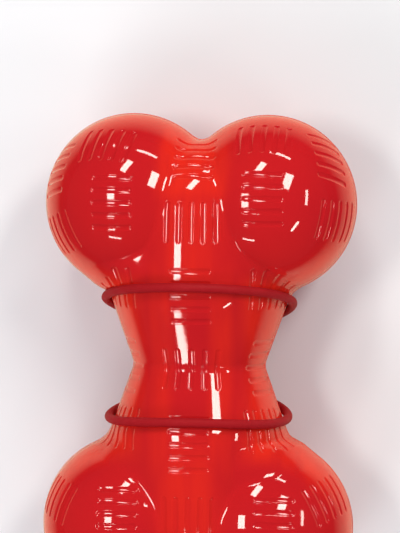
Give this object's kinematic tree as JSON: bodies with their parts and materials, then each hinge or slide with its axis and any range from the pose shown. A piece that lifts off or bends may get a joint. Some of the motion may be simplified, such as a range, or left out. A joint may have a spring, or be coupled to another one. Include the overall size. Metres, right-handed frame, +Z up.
{
  "type": "rubber chew bone",
  "caption": "Fat hollow rubber dog bone with paired round knobs, an hourglass neck, pill-shaped grooves and coated wire ties twisted round its neck.",
  "frame": {"origin": "on the floor, in the middle of the toy's length and width, with the toy lying on its back", "axes": "+Y along the bone toward its upper end as pictured, +X to the pictured right, +Z up, out of the pictured face"},
  "size_m": [0.0876, 0.1402, 0.0524],
  "materials": {
    "rubber": "gloss",
    "tie_coat": "matte",
    "tie_wire": "satin"
  },
  "bodies": {
    "bone": {"front_half": "rubber", "back_half": "rubber"},
    "upper_tie": {"upper_tie_sleeve": "tie_coat", "upper_tie_wire": "tie_wire"},
    "lower_tie": {"lower_tie_sleeve": "tie_coat", "lower_tie_wire": "tie_wire"}
  },
  "joints": [
    {"name": "upper_tie_slide", "type": "slide", "parent": "bone", "child": "upper_tie", "axis": [0, -1, 0], "range_m": [0, 0.003]},
    {"name": "lower_tie_slide", "type": "slide", "parent": "bone", "child": "lower_tie", "axis": [0, 1, 0], "range_m": [0, 0.003]}
  ]
}
